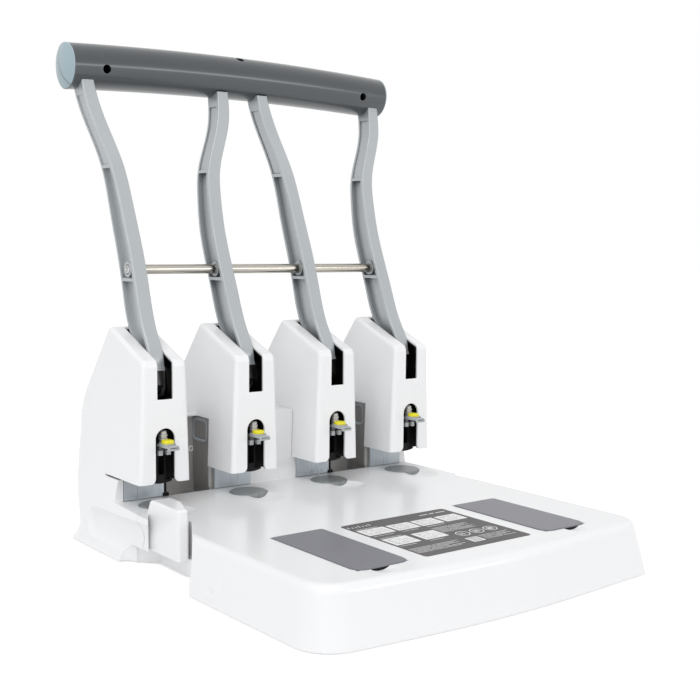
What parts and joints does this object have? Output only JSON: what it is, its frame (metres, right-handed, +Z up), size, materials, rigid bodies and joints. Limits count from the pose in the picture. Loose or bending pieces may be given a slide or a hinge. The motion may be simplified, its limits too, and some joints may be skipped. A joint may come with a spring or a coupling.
{
  "type": "lever hole punch",
  "caption": "Desk lever hole punch: a bar handle on cast levers drives a row of punching towers over a paper table with side guide, storage lids and chip drawer.",
  "frame": {"origin": "on the desk, under the middle of the bounding box", "axes": "+X along the row of towers to the user's right, +Y away from the user, +Z up"},
  "size_m": [0.3134, 0.3702, 0.3962],
  "materials": {
    "cover_white": "smooth semi-gloss moulding",
    "lever_paint": "silver grey paint on cast metal",
    "tube_grey": "satin slate grey powder coat",
    "cap_blue": "satin moulding",
    "rod_steel": "drawn stainless bar",
    "frame_steel": "oiled dark sheet steel",
    "stop_steel": "bluish burnished sheet",
    "tool_steel": "ground and oiled",
    "spring_steel": "drawn wire",
    "guide_black": "fine matte",
    "clip_clear": "smoky translucent moulding",
    "pad_yellow": "soft matte",
    "disc_grey": "fine matte with cut marks",
    "lid_grey": "smooth semi-gloss",
    "label_grey": "printed matte",
    "foot_rubber": "moulded",
    "bolt_zinc": "zinc plated"
  },
  "bodies": {
    "base": {"base_plate": "bolt_zinc", "feet": "foot_rubber", "frame_bolts": "bolt_zinc", "cover_screws": "bolt_zinc", "base_cover": "cover_white", "rear_cover": "cover_white", "frame_left": "frame_steel", "frame_right": "frame_steel", "pivot_pins": "tool_steel", "label_plate": "label_grey", "head_cover_1": "cover_white", "stop_plate_1": "stop_steel", "guide_sleeve_1": "guide_black", "return_spring_1": "spring_steel", "head_cover_2": "cover_white", "stop_plate_2": "stop_steel", "guide_sleeve_2": "guide_black", "return_spring_2": "spring_steel", "head_cover_3": "cover_white", "stop_plate_3": "stop_steel", "guide_sleeve_3": "guide_black", "return_spring_3": "spring_steel", "head_cover_4": "cover_white", "stop_plate_4": "stop_steel", "guide_sleeve_4": "guide_black", "return_spring_4": "spring_steel"},
    "handle": {"lever_arm_1": "lever_paint", "lever_arm_2": "lever_paint", "lever_arm_3": "lever_paint", "lever_arm_4": "lever_paint", "handle_tube": "tube_grey", "end_cap_left": "cap_blue", "end_cap_right": "cap_blue", "cross_rod": "rod_steel", "lever_screws": "bolt_zinc"},
    "punch_1": {"ram_1": "tool_steel", "punch_pin_1": "tool_steel"},
    "punch_2": {"ram_2": "tool_steel", "punch_pin_2": "tool_steel"},
    "punch_3": {"ram_3": "tool_steel", "punch_pin_3": "tool_steel"},
    "punch_4": {"ram_4": "tool_steel", "punch_pin_4": "tool_steel"},
    "tab_1": {"clip_1": "clip_clear", "clip_pad_1": "pad_yellow"},
    "tab_2": {"clip_2": "clip_clear", "clip_pad_2": "pad_yellow"},
    "tab_3": {"clip_3": "clip_clear", "clip_pad_3": "pad_yellow"},
    "tab_4": {"clip_4": "clip_clear", "clip_pad_4": "pad_yellow"},
    "disc_1": {"cutting_disc_1": "disc_grey"},
    "disc_2": {"cutting_disc_2": "disc_grey"},
    "disc_3": {"cutting_disc_3": "disc_grey"},
    "disc_4": {"cutting_disc_4": "disc_grey"},
    "left_lid": {"storage_lid_left": "lid_grey"},
    "right_lid": {"storage_lid_right": "lid_grey"},
    "drawer": {"chip_drawer": "cover_white"},
    "guide": {"side_guide": "cover_white"}
  },
  "joints": [
    {"name": "handle_swing", "type": "hinge", "parent": "base", "child": "handle", "pos_m": [0, 0.1015, 0.128], "axis": [1, 0, 0], "range_deg": [0, 55], "stiffness_Nm_per_rad": 5, "springref_deg": -68.75},
    {"name": "ram_slide_1", "type": "slide", "parent": "base", "child": "punch_1", "axis": [0, 0, -1], "range_m": [0, 0.0174], "deforming": ["return_spring_1"]},
    {"name": "ram_slide_2", "type": "slide", "parent": "base", "child": "punch_2", "axis": [0, 0, -1], "range_m": [0, 0.0174], "deforming": ["return_spring_2"]},
    {"name": "ram_slide_3", "type": "slide", "parent": "base", "child": "punch_3", "axis": [0, 0, -1], "range_m": [0, 0.0174], "deforming": ["return_spring_3"]},
    {"name": "ram_slide_4", "type": "slide", "parent": "base", "child": "punch_4", "axis": [0, 0, -1], "range_m": [0, 0.0174], "deforming": ["return_spring_4"]},
    {"name": "tab_pull_1", "type": "slide", "parent": "punch_1", "child": "tab_1", "axis": [0, -1, 0], "range_m": [0, 0.005]},
    {"name": "tab_pull_2", "type": "slide", "parent": "punch_2", "child": "tab_2", "axis": [0, -1, 0], "range_m": [0, 0.005]},
    {"name": "tab_pull_3", "type": "slide", "parent": "punch_3", "child": "tab_3", "axis": [0, -1, 0], "range_m": [0, 0.005]},
    {"name": "tab_pull_4", "type": "slide", "parent": "punch_4", "child": "tab_4", "axis": [0, -1, 0], "range_m": [0, 0.005]},
    {"name": "disc_turn_1", "type": "hinge", "parent": "base", "child": "disc_1", "pos_m": [-0.12, 0.0715, 0.034], "axis": [0, 0, 1], "continuous": true},
    {"name": "disc_turn_2", "type": "hinge", "parent": "base", "child": "disc_2", "pos_m": [-0.04, 0.0715, 0.034], "axis": [0, 0, 1], "continuous": true},
    {"name": "disc_turn_3", "type": "hinge", "parent": "base", "child": "disc_3", "pos_m": [0.04, 0.0715, 0.034], "axis": [0, 0, 1], "continuous": true},
    {"name": "disc_turn_4", "type": "hinge", "parent": "base", "child": "disc_4", "pos_m": [0.12, 0.0715, 0.034], "axis": [0, 0, 1], "continuous": true},
    {"name": "left_lid_hinge", "type": "hinge", "parent": "base", "child": "left_lid", "pos_m": [-0.083, -0.0615, 0.0389], "axis": [-1, 0, 0], "range_deg": [0, 95]},
    {"name": "right_lid_hinge", "type": "hinge", "parent": "base", "child": "right_lid", "pos_m": [0.083, -0.0615, 0.0389], "axis": [-1, 0, 0], "range_deg": [0, 95]},
    {"name": "drawer_slide", "type": "slide", "parent": "base", "child": "drawer", "axis": [0, 1, 0], "range_m": [0, 0.045]},
    {"name": "guide_slide", "type": "slide", "parent": "base", "child": "guide", "axis": [-1, 0, 0], "range_m": [0, 0.035]}
  ],
  "couplings": [
    {"joint": "ram_slide_1", "follows": "handle_swing", "m_per_rad": 0.018},
    {"joint": "ram_slide_2", "follows": "handle_swing", "m_per_rad": 0.018},
    {"joint": "ram_slide_3", "follows": "handle_swing", "m_per_rad": 0.018},
    {"joint": "ram_slide_4", "follows": "handle_swing", "m_per_rad": 0.018}
  ]
}
